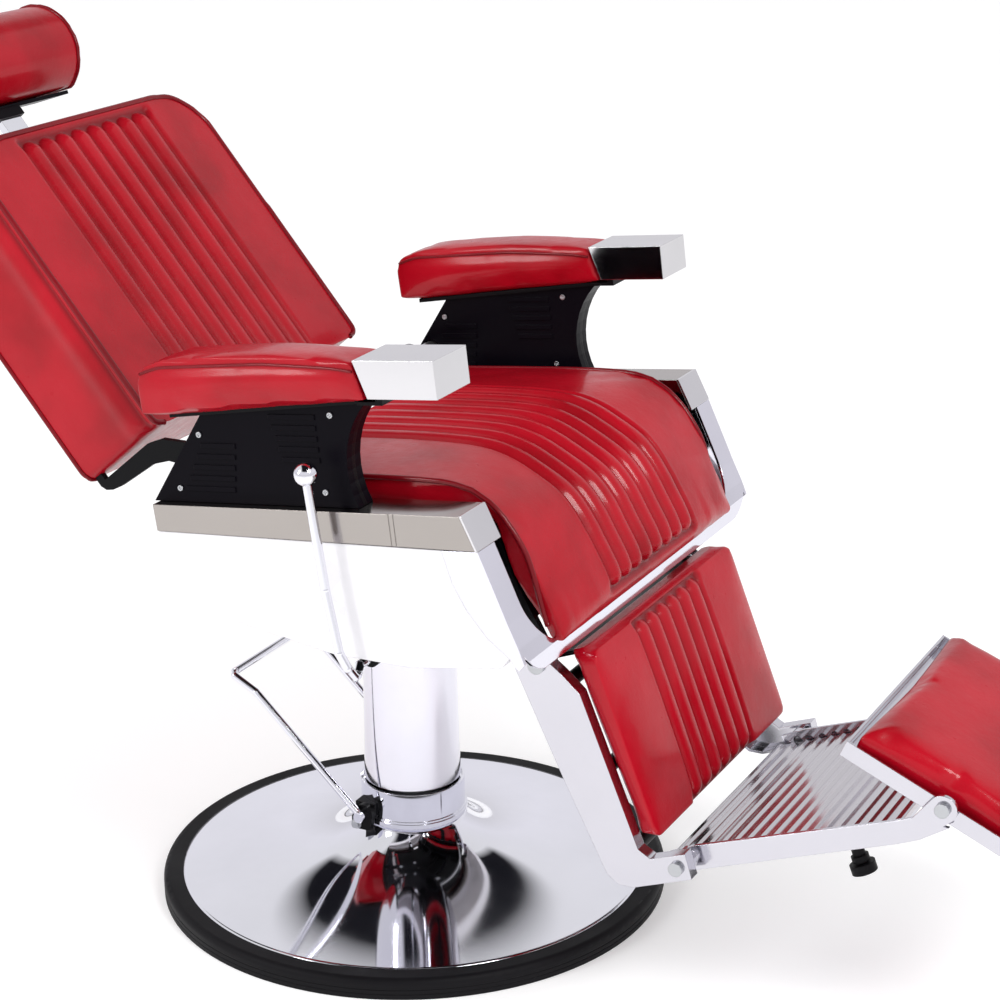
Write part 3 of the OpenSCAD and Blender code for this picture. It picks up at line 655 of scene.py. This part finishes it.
def level_lip(points):
    """Brings the lower front edge, which the stuffing pulled up, to a level line over the apron bar."""
    edges = np.linspace(-seat_w, seat_w, LIP_STRIPS + 1)
    strip = np.clip(np.digitize(points[:, 1], edges), 1, LIP_STRIPS)
    reach = points[:, 0] - points[:, 2]
    corners = []
    for k in range(1, LIP_STRIPS + 1):
        mine = strip == k
        corners.append(points[mine][np.argmax(reach[mine])])
    corners = np.array(corners)
    middles = (edges[:-1] + edges[1:]) / 2
    corner_x = np.interp(points[:, 1], middles, corners[:, 0])
    corner_z = np.interp(points[:, 1], middles, corners[:, 2])
    away = np.hypot(points[:, 0] - corner_x, points[:, 2] - corner_z)
    weight = 1 - step(away, 0, LIP_REACH)
    points[:, 0] += weight * np.maximum(seat_high[0] + 0.0015 - corner_x, 0)
    points[:, 2] += weight * np.minimum(seat_low[2] - 0.0035 - corner_z, 0)
    return points


seat = cushion("seat_pad", ["seat_cushion"], SEAT, [seat_edge(-1), seat_edge(1)],
               size=0.0055, inset=0.006, cap=0.012,
               fit=lambda q: q * [1, seat_w / (seat_w - 0.006), 1])
p = level_lip(coords(seat.data))
set_coords(seat.data, p)
n = normals(seat.data)
outer = step(n[:, 0] * 0.8 + n[:, 2] * 0.6, 0.35, 0.6)
half = SEAT_FLUTES_HALF
pitch = 2 * half / SEAT_FLUTES
lower = seat_low[2] + 0.015
inside = band(p[:, 1], half) * (1 - step(-p[:, 2], -lower, 0.008 - lower))
crest = flutes(p[:, 1], (lower + pitch / 2) - p[:, 2], SEAT_FLUTES, half)
p += n * (outer * inside * (0.009 * crest - 0.0055))[:, None]
set_coords(seat.data, p)
# Painted shade in the seat flutes' grooves
paint_groove_shade(seat, outer * inside * (1 - crest) ** 4)
edges = [on_surface(seat, soften(even(seat_edge(s), 0.008), 3), 0.001) for s in (-1, 1)]
place(seat, SEAT, "seat", ["seat_cushion"])
for s, line in zip(("right", "left"), edges):
    trim(tube("seat_piping_" + s, SEAT, line, 0.0034), "seat", PIPING)

# ---------------------------------------------------------------- arm pads
for s, name in ((-1, "right"), (1, "left")):
    node = "arm_pad_" + name
    low, high = extent(node, SEAT)
    mid = (low[1] + high[1]) / 2
    half = (high[1] - low[1]) / 2
    top = [(-0.138, 0.163), (-0.11, 0.171), (0.03, 0.176), (0.12, 0.172), (0.148, 0.168)]
    ring = [(x, mid - half, z - 0.004) for x, z in top] + [(x, mid + half, z - 0.004) for x, z in top[::-1]]
    arm = cushion("arm_rest_" + name, [node], SEAT, [close(ring)])
    seam = on_surface(arm, soften(even(ring[:5], 0.006), 2), 0.0006)
    seam_in = on_surface(arm, soften(even(ring[5:], 0.006), 2), 0.0006)
    place(arm, SEAT, "seat", [node])
    trim(tube("arm_seam_" + name, SEAT, seam, 0.0016), "seat", PIPING)
    trim(tube("arm_seam_in_" + name, SEAT, seam_in, 0.0016), "seat", PIPING)

# ---------------------------------------------------------------- headrest roll
leaned = Space(BACK_LEAN - math.radians(22.7), (0, 0, 0))
roll_low, roll_high = extent("headrest_roll", leaned)
roll_r = (roll_high[0] - roll_low[0]) / 2
ROLL = Space(BACK_LEAN - math.radians(22.7),
             leaned.to_row([roll_high[0] - roll_r, 0, roll_high[2] - roll_r]))
roll_flat = roll_low[2] - (roll_high[2] - roll_r)


def roll_ring(y, inset):
    """The roll's outline across its length, with the flat that its plate lies on."""
    r = roll_r - inset
    first = math.asin((roll_flat + inset) / r)
    angles = np.linspace(first, math.pi - first, 64)
    return [(r * math.cos(a), y, r * math.sin(a)) for a in angles]


ends = [roll_ring(s * (roll_high[1] - 0.004), 0.003) for s in (-1, 1)]
roll = cushion("head_roll", ["headrest_roll"], ROLL, [close(e) for e in ends], pressure=2.5, cap=0.007)
rings = [on_surface(roll, np.array(e), 0.0006) for e in ends]
place(roll, ROLL, "headrest", ["headrest_roll"])
for s, line in zip(("right", "left"), rings):
    trim(tube("roll_piping_" + s, ROLL, line, 0.0028, closed=True), "headrest", PIPING)

# ---------------------------------------------------------------- calf pad
calf_low, calf_high = extent("calf_cushion", LEG)
board_low = extent("calf_board", LEG)[0]
face = calf_high[0]
CALF_CORNER = 0.014
CALF_FLUTES = 6
CALF_FLUTES_HALF = 0.090


def calf_rim(x, inset):
    """The calf pad's outline at depth x."""
    w, r = calf_high[1] - CALF_CORNER, CALF_CORNER - inset
    low, high = calf_low[2] + CALF_CORNER, calf_high[2] - CALF_CORNER
    line = arc(-w, low, r, 270, 180, x) + arc(-w, high, r, 180, 90, x)
    return line + arc(w, high, r, 90, 0, x) + arc(w, low, r, 0, -90, x)


calf = cushion("calf_pad", ["calf_cushion", "calf_board"], LEG,
               [close(calf_rim(face - 0.005, 0.003)), close(calf_rim(board_low[0] + 0.003, 0.003))],
               wrapped=True)
p = coords(calf.data)
# The top edge stays clear of the apron bar, which passes it when the leg rest is raised
p[:, 2] = np.minimum(p[:, 2], calf_high[2] + 0.004)
p[:, 0] -= np.maximum(p[:, 0] - face, 0) * step(p[:, 2], calf_high[2] - 0.045, calf_high[2] - 0.01)
front = step(p[:, 0], face - 0.016, face - 0.005)
half = CALF_FLUTES_HALF
pitch = 2 * half / CALF_FLUTES
top = calf_high[2] - 0.005
low = calf_low[2] + 0.005
inside = band(p[:, 1], half) * (1 - step(p[:, 2], top, top + 0.006)) * step(p[:, 2], low - 0.006, low)
beyond = np.maximum(p[:, 2] - (top - pitch / 2), (low + pitch / 2) - p[:, 2])
crest = flutes(p[:, 1], beyond, CALF_FLUTES, half)
p[:, 0] += front * inside * (0.008 * crest - 0.0055)
set_coords(calf.data, p)
# Painted shade in the calf flutes' grooves
paint_groove_shade(calf, front * inside * (1 - crest) ** 4)
place(calf, LEG, "leg", ["calf_cushion", "calf_board"])

# ---------------------------------------------------------------- flip pad
flip = cushion("toe_pad", ["flip_pad"], FLIP, [])
place(flip, FLIP, "flip", ["flip_pad"])

# ---------------------------------------------------------------- studio
FLOOR_HALF = 12
FLOOR_Z = -0.0006
floor_mesh = bpy.data.meshes.new("floor")
corners = [(x * FLOOR_HALF, y * FLOOR_HALF, FLOOR_Z) for x, y in ((-1, -1), (1, -1), (1, 1), (-1, 1))]
floor_mesh.from_pydata(corners, [], [(0, 1, 2, 3)])
floor = new_object("floor", floor_mesh)
pale, pale_tree, pale_shader = material("pale_floor")
speck = noise(pale_tree, 2, 3)
shade = ramp(pale_tree, speck.outputs["Fac"], [(0.3, (0.80, 0.80, 0.80)), (0.7, (0.82, 0.82, 0.82))])
pale_tree.links.new(shade.outputs["Color"], pale_shader.inputs["Base Color"])
pale_shader.inputs["Roughness"].default_value = 0.9
pale_shader.inputs["Emission Color"].default_value = (1, 1, 1, 1)
pale_shader.inputs["Emission Strength"].default_value = 0.32
floor_mesh.materials.append(pale)

scene.view_settings.view_transform = "Standard"
world = bpy.data.worlds.new("studio")
world.use_nodes = True
sky = world.node_tree
where = sky.nodes.new("ShaderNodeTexCoord")
parts = sky.nodes.new("ShaderNodeSeparateXYZ")
sky.links.new(where.outputs["Generated"], parts.inputs[0])
height = ramp(sky, parts.outputs["Z"],
              [(0.0, (0.74, 0.73, 0.76)), (0.3, (0.9, 0.89, 0.93)), (0.7, (0.84, 0.84, 0.84))])


def band_of(direction, low, high, to_low, to_high, size_only=False):
    """A mask of how far a ray's direction leans along a given one, either way with size_only."""
    lean = sky.nodes.new("ShaderNodeVectorMath")
    lean.operation = "DOT_PRODUCT"
    lean.inputs[1].default_value = direction
    sky.links.new(where.outputs["Generated"], lean.inputs[0])
    value = lean.outputs["Value"]
    if size_only:
        size = sky.nodes.new("ShaderNodeMath")
        size.operation = "ABSOLUTE"
        sky.links.new(value, size.inputs[0])
        value = size.outputs[0]
    return span(sky, value, low, high, to_low, to_high).outputs[0]


def times(a, b):
    product = sky.nodes.new("ShaderNodeMath")
    product.operation = "MULTIPLY"
    sky.links.new(a, product.inputs[0])
    sky.links.new(b, product.inputs[1])
    return product.outputs[0]


# A dark ceiling strip over the chair, which only polished surfaces pick up
seen = sky.nodes.new("ShaderNodeLightPath")
strip = times(band_of((0.885, 0.465, 0), 0.40, 0.50, 1, 0, True), band_of((0, 0, 1), 0.56, 0.62, 0, 1))
dark = times(strip, seen.outputs["Is Glossy Ray"])
shaded = sky.nodes.new("ShaderNodeMix")
shaded.data_type = "RGBA"
sky.links.new(dark, shaded.inputs["Factor"])
sky.links.new(height.outputs["Color"], shaded.inputs["A"])
shaded.inputs["B"].default_value = (0.01, 0.01, 0.013, 1)
plain = sky.nodes.new("ShaderNodeMix")
plain.data_type = "RGBA"
sky.links.new(seen.outputs["Is Camera Ray"], plain.inputs["Factor"])
sky.links.new(shaded.outputs["Result"], plain.inputs["A"])
plain.inputs["B"].default_value = (1, 1, 1, 1)
sky.links.new(plain.outputs["Result"], sky.nodes["Background"].inputs["Color"])
sky.nodes["Background"].inputs["Strength"].default_value = 1.0
scene.world = world


def soft_light(name, at, aim, size, power):
    data = bpy.data.lights.new(name, "AREA")
    data.shape = "RECTANGLE"
    data.size, data.size_y = size
    data.energy = power
    ob = bpy.data.objects.new(name, data)
    scene.collection.objects.link(ob)
    ob.location = at
    ob.rotation_euler = (Vector(aim) - Vector(at)).to_track_quat("-Z", "Y").to_euler()
    return ob


soft_light("key", (2.4, -1.2, 2.6), (0, 0, 0.6), (1.0, 1.0), 45)
soft_light("side", (-1.6, -2.6, 2.0), (0, 0, 0.6), (0.5, 1.6), 28)

# ---------------------------------------------------------------- camera
CAMERA_AT = (1.4481, -2.5092, 1.5109)
CAMERA_YAW = 2.0533
CAMERA_TILT = -0.3301
CAMERA_ROLL = -0.0125
CAMERA_LENS_MM = 87.55
level = math.cos(CAMERA_TILT)
aim = Vector((level * math.cos(CAMERA_YAW), level * math.sin(CAMERA_YAW), math.sin(CAMERA_TILT)))
right = aim.cross(Vector((0, 0, 1))).normalized()
up = right.cross(aim)
x_axis = math.cos(CAMERA_ROLL) * right + math.sin(CAMERA_ROLL) * up
y_axis = math.cos(CAMERA_ROLL) * up - math.sin(CAMERA_ROLL) * right
camera_data = bpy.data.cameras.new("camera")
camera_data.sensor_width = 36
camera_data.lens = CAMERA_LENS_MM
camera = bpy.data.objects.new("camera", camera_data)
scene.collection.objects.link(camera)
turned = Matrix((x_axis, y_axis, -aim)).transposed().to_4x4()
camera.matrix_world = Matrix.Translation(CAMERA_AT) @ turned
scene.camera = camera
